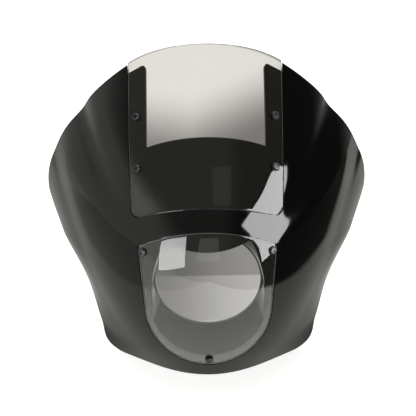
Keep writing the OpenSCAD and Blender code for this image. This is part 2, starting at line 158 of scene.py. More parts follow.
@dataclass(frozen=True)
class Skin:
    """Double-curved outer skin: at each height its plan is a conic.

    A place on it is [spread, height], where spread squared is the distance behind
    the nose line, and its sign is the side.
    """

    nose_reach: float = 62.0
    nose_drop: float = 32.0
    nose_lean: float = 1.9
    nose_bend: float = 400.0
    levels: tuple[float, ...] = (-150.0, -115.0, 5.0, 130.0, 290.0)
    radii: tuple[float, ...] = (110.0, 144.0, 155.0, 190.0, 110.0)
    fullness: tuple[float, ...] = (-0.5, 0.62, 0.42, 0.5, 0.15)
    wing_reach: float = 178.0
    wing_z: float = 60.0
    heel_reach: float = 45.0
    heel_power: float = 1.15
    heel_r: float = 14.0
    notch_z: float = 190.0
    tip_run: float = 5.0
    valley_depth: float = 8.0
    valley_reach: float = 14.0
    valley_floor_r: float = 34.0
    valley_scale: float = 18.0
    valley_start: float = 0.02
    valley_full: float = 0.65
    valley_bow: float = 0.25
    flare_slope: float = 0.14
    crease_low: float = 20.0
    crease_rise: float = 67.0
    crease_x: float = 78.0
    crease_soft: float = 16.0
    lens_corner_x: float = 101.5
    lens_corner_z: float = 62.1168

    def nose_y(self, z: Array) -> Array:
        """Distance of the nose line from the headlight hole's plane."""
        rise = (z + self.nose_drop)/self.nose_bend
        return -self.nose_reach + self.nose_lean*self.nose_bend*(np.sqrt(1 + rise*rise) - 1)

    def back_y(self, z: Array) -> Array:
        """Distance of the wing's back edge from the headlight hole's plane."""
        t = np.clip((self.wing_z - z)/(self.wing_z - self.levels[0]), 0.0, 1.0)
        tip = np.maximum(0.0, z - self.notch_z)/(self.levels[-1] - self.notch_z)
        return (self.wing_reach - self.tip_run*tip**2
                - (self.wing_reach - self.heel_reach)*t**self.heel_power)

    def at_level(self, values: tuple[float, ...], z: Array) -> Array:
        """Read a smooth curve through the values at the levels.

        Args:
            values: One value for each level.
            z: Heights.

        Returns:
            The value at each height.
        """
        lv, v = np.array(self.levels), np.array(values)
        last = len(lv) - 1
        low, high = np.maximum(np.arange(last + 1) - 1, 0), np.minimum(np.arange(last + 1) + 1, last)
        slope = (v[high] - v[low])/(lv[high] - lv[low])
        c = np.clip(z, lv[0], lv[-1])
        i = np.clip(np.searchsorted(lv, c, side="right") - 1, 0, last - 1)
        h = lv[i + 1] - lv[i]
        t = (c - lv[i])/h
        return ((2*t**3 - 3*t**2 + 1)*v[i] + (t**3 - 2*t**2 + t)*h*slope[i]
                + (3*t**2 - 2*t**3)*v[i + 1] + (t**3 - t**2)*h*slope[i + 1])

    def plan_x(self, w: Array, z: Array) -> Array:
        """Distance from the middle at a spread and height, before flare and valley."""
        return w*np.sqrt(2*self.at_level(self.radii, z) - self.at_level(self.fullness, z)*w*w)

    def place(self, x: Array, z: Array) -> Array:
        """Place on the skin at a distance from the middle and a height."""
        r, k = self.at_level(self.radii, z), self.at_level(self.fullness, z)
        return places(x/np.sqrt(r + np.sqrt(r*r - k*x*x)), z)

    def edge(self, z: Array) -> Array:
        """Place on the wing's back edge at a height."""
        return places(np.sqrt(self.back_y(z) - self.nose_y(z)), z)

    def bow(self, t: Array) -> Array:
        """Sideways bow of the valley along its way, where 27/4 brings the peak to 1."""
        return -self.valley_bow*27/4*t*t*(1 - t)

    def valley(self, w: Array, z: Array) -> Array:
        """Depth of the valley between body and cheek, below 0."""
        corner = self.place(np.array(self.lens_corner_x), np.array(self.lens_corner_z))
        notch = self.edge(np.array(self.notch_z))
        t = (z - corner[1])/(notch[1] - corner[1])
        mid = lerp(corner[0], notch[0], t) + np.where(t > 0, self.bow(t), 0.0)
        d = self.valley_scale*(np.abs(w) - mid)
        along = ease((t - self.valley_start)/(self.valley_full - self.valley_start))
        floor = np.hypot(d, self.valley_floor_r) - self.valley_floor_r
        return -self.valley_depth*along*np.exp(-floor/self.valley_reach)

    def flare(self, x: Array, z: Array) -> Array:
        """How far the skirt stands out under its crease."""
        past = np.maximum(np.abs(x) - self.crease_x, 0.0)/self.crease_x
        d = self.levels[0] + self.crease_low + self.crease_rise*past**2 - z
        return self.flare_slope*(d + np.hypot(d, self.crease_soft) - self.crease_soft)/2

    def surface(self, w: Array, z: Array) -> Array:
        """Points of the outer skin."""
        r, k = self.at_level(self.radii, z), self.at_level(self.fullness, z)
        x = w*np.sqrt(2*r - k*w*w)
        out_x, out_y = x, k*w*w - r
        size = np.hypot(out_x, out_y)
        d = self.flare(x, z) + self.valley(w, z)
        return np.stack((x + d*out_x/size, self.nose_y(z) + w*w + d*out_y/size, z + 0*x), axis=-1)

    def normal(self, w: Array, z: Array) -> Array:
        """Outward normals of the skin."""
        dw, dz = 0.02, 0.2
        across = self.surface(w + dw, z) - self.surface(w - dw, z)
        up = self.surface(w, z + dz) - self.surface(w, z - dz)
        n = np.cross(across, up)
        return n/np.linalg.norm(n, axis=-1, keepdims=True)

    def under(self, p: Array, depth: Array | float) -> Array:
        """Points at a depth under the skin."""
        w, z = p[..., 0], p[..., 1]
        return self.surface(w, z) - np.asarray(depth)[..., None]*self.normal(w, z)

    def seat(self, x: float, z: float) -> Matrix:
        """Frame on the skin at x and z, with +Z along the outward normal, in metres."""
        p = self.place(np.array(x), np.array(z))
        n = Vector(self.normal(p[0], p[1]))
        at = Vector(self.surface(p[0], p[1]))*MM
        return Matrix.Translation(at) @ n.to_track_quat("Z", "Y").to_matrix().to_4x4()


@dataclass(frozen=True)
class Outlines:
    """Outlines of the panes, cut-out, recess and wing, as functions of a running count.

    The counts are those of the solids' grid cells, so that neighbours meet.
    """

    skin: Skin = Skin()
    n_side: int = 10
    n_corner: int = 4
    n_foot: int = 9
    n_ridge: int = 6
    n_lens_side: int = 14
    n_bowl: int = 18
    n_heel: int = 4
    n_rim: int = 8
    n_round: int = 3
    n_lip: int = 10
    screen_w: float = 223.0
    screen_foot: float = 118.0
    foot_arch_r: float = 256.0
    foot_corner_r: float = 16.0
    screen_top: float = 298.0
    top_arch_r: float = 196.0
    screen_lean: float = 3.9
    cut_w: float = 171.0
    cut_floor: float = 200.0
    cut_arch_r: float = 213.0
    post_drop: float = 9.5
    post_corner_r: float = 6.0
    lens_top: float = 91.5
    lens_arch_r: float = 190.0
    lens_w: float = 203.0
    lens_low_w: float = 188.0
    lens_bend_z: float = -30.0
    lens_drop: float = 126.0
    mouth_w: float = 168.0
    mouth_drop: float = 105.0
    lip_z: float = 65.0
    ear_z: float = 76.0
    gusset_w: float = 12.0
    gusset_power: float = 2.6
    gusset_z: float = 55.1168
    tip_w: float = 6.0
    screen_screw_x: float = 99.0
    screen_screw_z: tuple[float, float] = (156.0, 211.0)
    lens_screw_x: float = 93.5
    lens_screw_drop: float = 113.0

    @property
    def n_top(self) -> int:
        """Cells along half the lens top."""
        return self.n_corner + self.n_foot

    @property
    def n_u(self) -> int:
        """Cells along half the windscreen's outline."""
        return self.n_side + self.n_top

    @property
    def n_lens(self) -> int:
        """Cells along half the lens outline."""
        return self.n_top + self.n_lens_side + self.n_bowl

    @property
    def n_valley(self) -> int:
        """Cells from the wing's tip to the valley."""
        return self.n_side + self.n_ridge

    @property
    def n_half(self) -> int:
        """Cells along half the free edge."""
        return self.n_valley + self.n_lens_side + self.n_bowl

    def lean(self, z: Array) -> Array:
        """How much wider than upright the windscreen is at a height."""
        rise = np.maximum(0.0, z - self.screen_foot)/(self.screen_top - self.screen_foot)
        return 1 + self.screen_lean/(self.screen_w/2)*rise

    def leaning(self, x: Array, z: Array) -> Array:
        """Place on the skin of a point of the windscreen that is drawn upright."""
        return self.skin.place(x*self.lean(z), z)

    def screen_spots(self) -> list[tuple[float, float]]:
        """Places of the windscreen's screws, as x and z."""
        return [(side*self.screen_screw_x*float(self.lean(z)), z) for side in (-1, 1)
                for z in self.screen_screw_z]

    def lens_spots(self) -> list[tuple[float, float]]:
        """Places of the lens cover's screws, as x and z."""
        return [(-self.lens_screw_x, self.gusset_z), (self.lens_screw_x, self.gusset_z),
                (0.0, -self.lens_screw_drop)]

    def edge_z(self, x: float, halvings: int = 24) -> float:
        """Height at which the wing's upper back edge crosses the leaning line of x."""
        s = self.skin
        low, high = s.notch_z, s.levels[-1]
        for _ in range(halvings):
            mid = (low + high)/2
            spread = s.edge(np.array(mid))[..., 0]
            outside = s.plan_x(spread, np.array(mid)) > x*self.lean(mid)
            low, high = (mid, high) if outside else (low, mid)
        return (low + high)/2

    def foot_z(self, x: Array, o: float) -> Array:
        """Height of the windscreen's foot, with its round corners, set outwards by o."""
        r = self.foot_corner_r + o
        past = np.maximum(0.0, np.abs(x) - (self.screen_w/2 + o - r))
        return arch(self.screen_foot, self.foot_arch_r, x) - o + r - np.sqrt(
            np.maximum(0.0, r*r - past*past))

    def crown(self, x: Array) -> Array:
        """Height of the windscreen's top edge."""
        return arch(self.screen_top, self.top_arch_r, x)

    def screen(self, u: Array, o: float, top: float) -> Array:
        """Outline of the windscreen's rebate, from its tip round to the foot's middle."""
        a, r = self.screen_w/2 + o, self.foot_corner_r + o
        turn = np.clip((u - self.n_side)/self.n_corner, 0.0, 1.0)*math.pi/2
        run = np.clip((u - self.n_side - self.n_corner)/self.n_foot, 0.0, 1.0)
        x = np.where(u <= self.n_side, a,
                     np.where(run > 0, (a - r)*(1 - run), a - r + r*np.cos(turn)))
        side = lerp(top, self.foot_z(np.array(a), o), np.clip(u/self.n_side, 0.0, 1.0))
        return self.leaning(x, np.where(u <= self.n_side, side, self.foot_z(x, o)))

    def post_z(self, x: Array) -> Array:
        """Height of a post's top."""
        r = self.post_corner_r
        past = np.maximum(0.0, self.cut_w/2 + r - x)
        return self.crown(x) - self.post_drop - r + np.sqrt(np.maximum(0.0, r*r - past*past))

    def cut(self, u: Array) -> Array:
        """Outline of the cut-out, from a post's top to the middle of the floor."""
        a, r = self.cut_w/2, self.post_corner_r
        turn = np.clip(u/self.n_round, 0.0, 1.0)*math.pi/2
        run = np.clip((u - self.n_side)/self.n_top, 0.0, 1.0)
        x = np.where(u < self.n_round, a + r - r*np.sin(turn), a*(1 - run))
        down = np.clip((u - self.n_round)/(self.n_side - self.n_round), 0.0, 1.0)
        side = lerp(self.post_z(np.array(a)), arch(self.cut_floor, self.cut_arch_r, np.array(a)), down)
        z = np.where(u < self.n_round, self.post_z(x),
                     np.where(u <= self.n_side, side, arch(self.cut_floor, self.cut_arch_r, x)))
        return self.leaning(x, z)

    def lens(self, u: Array, o: float) -> Array:
        """Outline of the lens rebate, from the top's middle to the bottom's middle."""
        a, b = self.lens_w/2 + o, self.lens_low_w/2 + o
        corner = arch(self.lens_top, self.lens_arch_r, np.array(a)) + o
        t = np.clip((u - self.n_top)/self.n_lens_side, 0.0, 1.0)
        turn = np.clip((u - self.n_top - self.n_lens_side)/self.n_bowl, 0.0, 1.0)*math.pi/2
        top_x = a*np.clip(u/self.n_top, 0.0, 1.0)
        x = np.where(u <= self.n_top, top_x, np.where(turn > 0, b*np.cos(turn), lerp(a, b, t)))
        z = np.where(u <= self.n_top, arch(self.lens_top, self.lens_arch_r, top_x) + o,
                     np.where(turn > 0,
                              self.lens_bend_z - (self.lens_drop + self.lens_bend_z + o)*np.sin(turn),
                              lerp(corner, self.lens_bend_z, t)))
        return self.skin.place(x, z)

    def gusset_x(self, z: Array) -> Array:
        """Inner edge of the gusset under an ear of the lip."""
        rise = np.maximum(0.0, z - self.lens_bend_z)/(self.gusset_z - self.lens_bend_z)
        return self.mouth_w/2 - self.gusset_w*rise**self.gusset_power

    def mouth(self, u: Array) -> Array:
        """Mouth of the headlight recess as [x, z]: lip, gusset, side and bottom."""
        lip = np.clip(u/self.n_lip, 0.0, 1.0)
        fall = np.clip((u - self.n_lip)/(self.n_top - self.n_lip), 0.0, 1.0)
        t = np.clip((u - self.n_top)/self.n_lens_side, 0.0, 1.0)
        turn = np.clip((u - self.n_top - self.n_lens_side)/self.n_bowl, 0.0, 1.0)*math.pi/2
        z = np.where(t > 0, lerp(self.gusset_z, self.lens_bend_z, t),
                     lerp(self.ear_z, self.gusset_z, fall))
        x = np.where(turn > 0, self.mouth_w/2*np.cos(turn), self.gusset_x(z))
        z = np.where(turn > 0, self.lens_bend_z - (self.mouth_drop + self.lens_bend_z)*np.sin(turn), z)
        x = np.where(u <= self.n_lip, self.gusset_x(np.array(self.ear_z))*lip, x)
        return np.stack((x, np.where(u <= self.n_lip, lerp(self.lip_z, self.ear_z, lip*lip), z)), axis=-1)

    def ring(self, u: Array, r: float, y: float) -> Array:
        """Mouth's points thrown onto a circle round the headlight's axis."""
        p = self.mouth(u)
        q = r*p/np.linalg.norm(p, axis=-1, keepdims=True)
        return np.stack((q[..., 0], np.full(q.shape[:-1], y), q[..., 1]), axis=-1)

    def wing(self, u: Array) -> Array:
        """Free edge of the wing, from the tip over notch and heel to the rim's middle."""
        s = self.skin
        rim, heel = s.levels[0], s.levels[0] + s.heel_r
        n_back = self.n_half - self.n_valley - self.n_heel - self.n_rim
        a, b, c = self.n_valley, self.n_valley + n_back, self.n_valley + n_back + self.n_heel
        tip = self.edge_z(self.screen_w/2 + self.tip_w)
        turn = s.edge(np.array(rim))
        stop = s.place(s.plan_x(turn[0], np.array(rim)) - s.heel_r, np.array(rim))
        start = s.edge(np.array(heel))
        z = np.where(u <= a, lerp(tip, s.notch_z, u/a), lerp(s.notch_z, heel, (u - a)/n_back))
        t = np.clip((u - b)/self.n_heel, 0.0, 1.0)[..., None]
        bend = (1 - t)**2*start + 2*t*(1 - t)*turn + t*t*stop
        run = np.clip((u - c)/self.n_rim, 0.0, 1.0)
        flat = places(stop[0]*(1 - run), rim)
        return np.where((u <= b)[..., None], s.edge(np.maximum(z, heel)),
                        np.where((u <= c)[..., None], bend, flat))


# Meshes

def settle() -> None:
    """Leave edit mode and select nothing."""
    if bpy.context.object and bpy.context.object.mode != "OBJECT":
        bpy.ops.object.mode_set(mode="OBJECT")
    bpy.ops.object.select_all(action="DESELECT")


def choose(piece: bpy.types.Object, *others: bpy.types.Object) -> None:
    """Select a piece and others, with the piece active."""
    settle()
    for each in (piece, *others):
        each.select_set(True)
    bpy.context.view_layer.objects.active = piece


def patch(name: str, points: Array) -> bpy.types.Object:
    """Lay a grid of quads over rows of points.

    Args:
        name: Name of the object.
        points: Rows by columns by 3, in millimetres.

    Returns:
        The grid as an object at the origin.
    """
    rows, cols = points.shape[:2]
    settle()
    bpy.ops.mesh.primitive_grid_add(x_subdivisions=cols - 1, y_subdivisions=rows - 1, size=1)
    piece = bpy.context.object
    piece.name = name
    piece.data.vertices.foreach_set("co", (points*MM).ravel())
    piece.data.update()
    return piece


def join(name: str, parts: list[bpy.types.Object]) -> bpy.types.Object:
    """Join separate closed meshes into one object."""
    choose(*parts)
    bpy.ops.object.join()
    piece = bpy.context.object
    piece.name = name
    return piece


def edit_all(piece: bpy.types.Object, *steps: Callable[[], object]) -> None:
    """Take operators in edit mode on all of a piece.

    Args:
        piece: Piece that is edited.
        *steps: The operators in order.
    """
    choose(piece)
    bpy.ops.object.mode_set(mode="EDIT")
    bpy.ops.mesh.select_all(action="SELECT")
    for step in steps:
        step()
    bpy.ops.object.mode_set(mode="OBJECT")


def merge(distance: float = MERGE) -> None:
    """Merge the selected points that lie within a distance."""
    bpy.ops.mesh.remove_doubles(threshold=distance)


def turn_out() -> None:
    """Turn the selected faces outwards."""
    bpy.ops.mesh.normals_make_consistent(inside=False)


def weld(name: str, parts: list[bpy.types.Object]) -> bpy.types.Object:
    """Join patches and merge their shared edges.

    Args:
        name: Name of the joined piece.
        parts: Patches that share their edges.

    Returns:
        The joined piece.
    """
    piece = join(name, parts)
    edit_all(piece, merge, turn_out)
    return piece


def bridge(piece: bpy.types.Object, wanted: Callable[[Vector], bool]) -> None:
    """Bridge two open edges of a piece.

    Args:
        piece: Piece with two open edges that match.
        wanted: Tells which points of the open edges are meant.
    """
    choose(piece)
    bpy.ops.object.mode_set(mode="EDIT")
    bpy.ops.mesh.select_mode(type="EDGE")
    mesh = bmesh.from_edit_mesh(piece.data)
    for edge in mesh.edges:
        edge.select_set(edge.is_boundary and all(wanted(v.co) for v in edge.verts))
    bmesh.update_edit_mesh(piece.data)
    bpy.ops.mesh.bridge_edge_loops()
    bpy.ops.object.mode_set(mode="OBJECT")


def modify(piece: bpy.types.Object, kind: str, **settings: object) -> None:
    """Add a modifier and apply it.

    Args:
        piece: Object that is changed.
        kind: Type of modifier.
        **settings: Properties of the modifier.
    """
    choose(piece)
    modifier = piece.modifiers.new(kind.title(), kind)
    for name, value in settings.items():
        setattr(modifier, name, value)
    bpy.ops.object.modifier_apply(modifier=modifier.name)


def bevel(piece: bpy.types.Object, r: float, segments: int, angle: float = 60.0,
          **settings: object) -> None:
    """Round or chamfer the edges that are sharper than an angle.

    Args:
        piece: Object that is changed.
        r: Width of the bevel.
        segments: 1 for a chamfer, more for a round edge.
        angle: Angle between faces, in degrees, past which an edge counts.
        **settings: Other properties of the modifier.
    """
    modify(piece, "BEVEL", width=r*MM, segments=segments, limit_method="ANGLE",
           angle_limit=math.radians(angle), **settings)


def both_sides(piece: bpy.types.Object) -> None:
    """Mirror the right half of a piece to the left."""
    modify(piece, "MIRROR", use_axis=(True, False, False), merge_threshold=MERGE)


def cut_away(piece: bpy.types.Object, tool: bpy.types.Object, keep: str = "DIFFERENCE") -> None:
    """Cut a piece with a tool, and take the tool away."""
    modify(piece, "BOOLEAN", operation=keep, object=tool, solver="EXACT")
    bpy.data.objects.remove(tool, do_unlink=True)


def smooth(piece: bpy.types.Object, angle: float = 32.0) -> None:
    """Shade a piece smoothly up to an angle between faces."""
    choose(piece)
    bpy.ops.object.shade_smooth_by_angle(angle=math.radians(angle))


def round_bar(d: float, h: float, z: float, sides: int = 64) -> bpy.types.Object:
    """Add a cylinder along Z whose foot stands at z."""
    settle()
    bpy.ops.mesh.primitive_cylinder_add(vertices=sides, radius=d/2*MM, depth=h*MM,
                                        location=(0, 0, (z + h/2)*MM))
    bpy.ops.object.transform_apply(location=True, rotation=True, scale=True)
    return bpy.context.object


def copies(name: str, master: bpy.types.Object, seats: list[Matrix]) -> bpy.types.Object:
    """Copy a piece to each seat, join the copies and take the master away.

    Args:
        name: Name of the joined piece.
        master: Piece modelled at the origin.
        seats: Frame of each copy.

    Returns:
        The joined copies.
    """
    made = []
    for seat in seats:
        each = master.copy()
        each.data = master.data.copy()
        each.data.transform(seat)
        bpy.context.collection.objects.link(each)
        made.append(each)
    bpy.data.objects.remove(master, do_unlink=True)
    piece = join(name, made)
    piece.data.name = name
    return piece


def drill(piece: bpy.types.Object, seats: list[Matrix], d: float = 6.8, depth: float = 12.0,
          sliver: float = 0.003) -> None:
    """Drill a screw hole at each seat.

    Args:
        piece: Closed piece.
        seats: Frames on the skin, with Z along the hole.
        d: Diameter of the holes.
        depth: Reach of the drill under and over the skin.
        sliver: Length under which edges are merged away afterwards.
    """
    cut_away(piece, copies("drill", round_bar(d, 2*depth, -depth, 40), seats))
    edit_all(piece, lambda: merge(sliver*MM),
             lambda: bpy.ops.mesh.dissolve_degenerate(threshold=sliver*MM))


# Finishes

class Tint(Enum):
    """Tints of the clear panes."""

    SMOKE = "#E4E0DA"
    WATER = "#F1EFEB"
    FROST = "#C9CACA"


class Plating(Enum):
    """Coats of the small steel parts, one of them a lighter tone of black oxide as painted light."""

    BLACK_OXIDE = "#505153"
    # painted light: a lighter tone of the same black oxide, for the lens screws, standing in for the
    # brighter light they catch
    GREY_OXIDE = "#5E5F61"
    ZINC = "#B9BBBD"


def new_material(name: str, **inputs: object,
                 ) -> tuple[bpy.types.Material, bpy.types.NodeTree, bpy.types.Node]:
    """Make a material with one Principled shader linked to its output.

    Args:
        name: Name of the material.
        **inputs: Inputs of the shader, by their names with underscores.

    Returns:
        The material, its node tree and the shader.
    """
    material = bpy.data.materials.new(name)
    material.use_nodes = True
    tree = material.node_tree
    tree.nodes.clear()
    shader = add_node(tree, "BsdfPrincipled", **inputs)
    add_node(tree, "OutputMaterial", Surface=shader)
    return material, tree, shader


def relief(tree: bpy.types.NodeTree, shader: bpy.types.Node, size: float, height: float,
           detail: float = 2.0) -> None:
    """Give a shader a fine relief of noise.

    Args:
        tree: Node tree of the material.
        shader: Shader whose normal is changed.
        size: Size of a bump in millimetres.
        height: Height of a bump in millimetres.
        detail: Octaves of finer noise.
    """
    where = add_node(tree, "TexCoord")
    bumps = add_node(tree, "TexNoise", Scale=1/(size*MM), Detail=detail,
                     Vector=where.outputs["Object"])
    bump = add_node(tree, "Bump", Strength=1.0, Distance=height*MM, Height=bumps)
    tree.links.new(bump.outputs["Normal"], shader.inputs["Normal"])


def haze(tree: bpy.types.NodeTree, shader: bpy.types.Node, size: float, roughness: Ramp,
         detail: float, harshness: float = 0.5) -> None:
    """Let a shader's roughness drift in soft clouds.

    Args:
        tree: Node tree of the material.
        shader: Shader whose roughness is changed.
        size: Size of a cloud in millimetres.
        roughness: Range of the noise and the roughness at its ends.
        detail: Octaves of finer noise.
        harshness: Strength of the finer noise.
    """
    where = add_node(tree, "TexCoord")
    cloud = add_node(tree, "TexNoise", Scale=1/(size*MM), Detail=detail, Roughness=harshness,
                     Vector=where.outputs["Object"])
    drift = add_node(tree, "MapRange", _0=cloud, **roughness.sockets())
    tree.links.new(drift.outputs[0], shader.inputs["Roughness"])


@dataclass(frozen=True)
class GlossAbs:
    """Gloss-black ABS, vacuum-formed over a mould: deep black, sharp and slightly wavy."""

    colour: str = "#0C0C0D"
    roughness: Ramp = Ramp(0.35, 0.75, 0.045, 0.075)
    dust: float = 9.0
    dust_detail: float = 6.0
    dust_harshness: float = 0.62
    ior: float = 1.53
    wave: float = 26.0
    wave_height: float = 0.012

    def material(self) -> bpy.types.Material:
        """Make the finish."""
        material, tree, shader = new_material("gloss_black_abs", Base_Color=linear(self.colour),
                                              IOR=self.ior)
        haze(tree, shader, self.dust, self.roughness, self.dust_detail, self.dust_harshness)
        relief(tree, shader, self.wave, self.wave_height, detail=1.0)
        return material


@dataclass(frozen=True)
class GrainedAbs:
    """Inside of the moulding: the same ABS with the mould's fine satin grain."""

    colour: str = "#141415"
    roughness: float = 0.46
    grain: float = 1.1
    grain_height: float = 0.03

    def material(self) -> bpy.types.Material:
        """Make the finish."""
        material, tree, shader = new_material("grained_black_abs", Base_Color=linear(self.colour),
                                              Roughness=self.roughness)
        relief(tree, shader, self.grain, self.grain_height)
        return material


@dataclass(frozen=True)
class Polycarbonate:
    """Clear polycarbonate sheet, press-polished: see-through with sharp reflections."""

    name: str
    tint: Tint
    roughness: float = 0.0
    ior: float = 1.585
    wave: float = 40.0
    wave_height: float = 0.006

    def material(self) -> bpy.types.Material:
        """Make the finish."""
        material, tree, shader = new_material(self.name, Base_Color=linear(self.tint.value),
                                              Roughness=self.roughness, IOR=self.ior,
                                              Transmission_Weight=1.0)
        relief(tree, shader, self.wave, self.wave_height, detail=1.0)
        return material


@dataclass(frozen=True)
class SawnEdge:
    """Sawn and scraped edge of the clear sheet: a fine frost that glows with the sheet's light."""

    name: str = "sawn_edge"
    tint: Tint = Tint.FROST
    roughness: float = 0.45
    transmission: float = 0.35
    saw_mark: float = 0.8
    saw_depth: float = 0.01

    def material(self) -> bpy.types.Material:
        """Make the finish."""
        material, tree, shader = new_material(self.name, Base_Color=linear(self.tint.value),
                                              Roughness=self.roughness,
                                              Transmission_Weight=self.transmission)
        relief(tree, shader, self.saw_mark, self.saw_depth)
        return material


@dataclass(frozen=True)
class Steel:
    """Small turned or pressed steel parts with a thin coat, which spreads their shine."""

    name: str
    coat: Plating
    metallic: float = 1.0
    roughness: Ramp = Ramp(0.3, 0.7, 0.27, 0.44)
    stain: float = 3.0
    stain_detail: float = 5.0
    grit: float = 0.5
    grit_height: float = 0.01

    def material(self) -> bpy.types.Material:
        """Make the finish."""
        material, tree, shader = new_material(self.name, Base_Color=linear(self.coat.value),
                                              Metallic=self.metallic)
        haze(tree, shader, self.stain, self.roughness, self.stain_detail)
        relief(tree, shader, self.grit, self.grit_height)
        return material


@dataclass(frozen=True)
class Nylon:
    """Moulded black nylon of the washers: matt, with a soft sheen."""

    colour: str = "#1B1B1C"
    roughness: float = 0.5
    grain: float = 0.6
    grain_height: float = 0.01

    def material(self) -> bpy.types.Material:
        """Make the finish."""
        material, tree, shader = new_material("black_nylon", Base_Color=linear(self.colour),
                                              Roughness=self.roughness)
        relief(tree, shader, self.grain, self.grain_height)
        return material


# Sub-assemblies

@dataclass
class CowlShell:
    """Moulded shell with a rebate for each pane and a recess for the headlight."""

    lines: Outlines = field(default_factory=Outlines)
    screw_seats: list[Matrix] = field(default_factory=list)
    wall: float = 3.0
    rebate: float = 3.3
    plate_t: float = 3.0
    hole_d: float = 152.0
    ring_w: float = 1.5
    edge_r: float = 0.8
    edge_steps: int = 3
    edge_angle: float = 50.0
    rim_margin: float = 1.0
    fine: int = 4
    across: int = 46
    bow_cells: float = 6.0
    seat_rows: int = 17
    wall_rows: int = 9

    def strip(self, name: str, count: int, o: float,
              rows: Callable[[Array, float], list[Array]]) -> bpy.types.Object:
        """Lay one patch along an outline.

        Args:
            name: Name of the patch.
            count: Grid cells of the solids along the outline.
            o: 0 for the front of the wall, or the wall's thickness for its back.
            rows: Gives the lines of points across the patch for the running count.

        Returns:
            The patch.
        """
        u = np.arange(count*self.fine + 1)/self.fine
        return patch(name, np.stack(rows(u, o), axis=0))

    def skin_lines(self, u: Array, o: float) -> list[Array]:
        """Lines from the panes' outlines to the wing's edge."""
        ln, s = self.lines, self.lines.skin
        down = np.clip((u - ln.n_side)/ln.n_ridge, 0.0, 1.0)[..., None]
        foot = ln.screen(np.minimum(u, ln.n_side), o, ln.edge_z(ln.screen_w/2 + o))
        lens = ln.lens(np.maximum(u - ln.n_valley, 0.0) + ln.n_top, o)
        inner = lerp(foot, lens, down)
        outer = ln.wing(u)
        pull = np.exp(-((u - ln.n_valley)/self.bow_cells)**2)
        lines = []
        for j in range(self.across + 1):
            t = j/self.across
            p = lerp(inner, outer, t)
            p[..., 0] += pull*s.bow(t)
            lines.append(s.under(p, o))
        return lines

    def ridge_lines(self, u: Array, o: float) -> list[Array]:
        """Lines from the windscreen's foot to the lens top."""
        ln, s = self.lines, self.lines.skin
        foot = ln.screen(u + ln.n_side, o, ln.edge_z(ln.screen_w/2 + o))
        lens = ln.lens(ln.n_top - u, o)
        n = ln.n_ridge*self.fine
        return [s.under(lerp(foot, lens, c/n), o) for c in range(n + 1)]

    def screen_lines(self, u: Array, o: float) -> list[Array]:
        """Lines down the windscreen's step and over its seat to the cut-out."""
        ln, s = self.lines, self.lines.skin
        foot = ln.screen(u, o, ln.edge_z(ln.screen_w/2 + o))
        low = ln.screen(u, o, float(ln.post_z(np.array(ln.screen_w/2 + o))))
        cut = ln.cut(u)
        step = [s.under(lerp(foot, low, t), o + t*self.rebate) for t in (0.0, 0.5)]
        return step + [s.under(lerp(low, cut, t), o + self.rebate)
                       for t in np.linspace(0, 1, self.seat_rows)]

    def recess_lines(self, u: Array, o: float) -> list[Array]:
        """Lines down the lens step, over its seat and down the recess to the hole."""
        ln, s = self.lines, self.lines.skin
        lens, rim = ln.lens(u, o), ln.mouth(u)
        rim = rim*(1 + o/np.linalg.norm(rim, axis=-1, keepdims=True))
        mouth = s.place(rim[..., 0], rim[..., 1])
        ring = ln.ring(u, self.hole_d/2 + self.ring_w + o, -self.plate_t)
        lines = [s.under(lens, o + t*self.rebate) for t in (0.0, 0.5)]
        ts = np.linspace(0, 1, self.wall_rows)
        lines += [s.under(lerp(lens, mouth, t), o + self.rebate) for t in ts]
        edge = lines[-1]
        lines += [lerp(edge, ring, t) for t in ts[1:]]
        if o > 0:
            lines.append(ln.ring(u, self.hole_d/2 + self.ring_w + o, 0.0))
        return lines + [ln.ring(u, self.hole_d/2, -self.plate_t if o == 0 else 0.0)]

    def sheet(self, name: str, o: float, finish: bpy.types.Material) -> bpy.types.Object:
        """Lay one face of the wall, both sides of the middle.

        Args:
            name: Name of the sheet.
            o: 0 for the front of the wall, or the wall's thickness for its back.
            finish: Material of the sheet.

        Returns:
            The sheet.
        """
        ln = self.lines
        piece = weld(name, [
            self.strip("skin", ln.n_half, o, self.skin_lines),
            self.strip("ridge", ln.n_top, o, self.ridge_lines),
            self.strip("screen_seat", ln.n_u, o, self.screen_lines),
            self.strip("recess", ln.n_lens, o, self.recess_lines),
        ])
        both_sides(piece)
        piece.data.materials.append(finish)
        return piece

    def build(self) -> bpy.types.Object:
        """Build the shell as one closed mesh."""
        front = self.sheet("moulding_front", 0.0, GlossAbs().material())
        back = self.sheet("moulding_back", self.wall, GrainedAbs().material())
        shell = join("cowl_moulding", [front, back])
        near_y = (self.plate_t + self.rim_margin)*MM
        near_r = (self.hole_d/2 + self.rim_margin)*MM

        def at_hole(p: Vector) -> bool:
            """Tell whether a point lies on the headlight hole's rim."""
            return abs(p.y) < near_y and math.hypot(p.x, p.z) < near_r

        bridge(shell, at_hole)
        bridge(shell, lambda p: not at_hole(p))
        edit_all(shell, turn_out)
        bevel(shell, self.edge_r, self.edge_steps, self.edge_angle, use_clamp_overlap=True)
        return shell

    def dress(self, piece: bpy.types.Object) -> None:
        """Drill and shade the shell, and let it stand for its solid."""
        drill(piece, self.screw_seats)
        smooth(piece)
        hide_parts("cowl_shell")
        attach(piece, BODY)


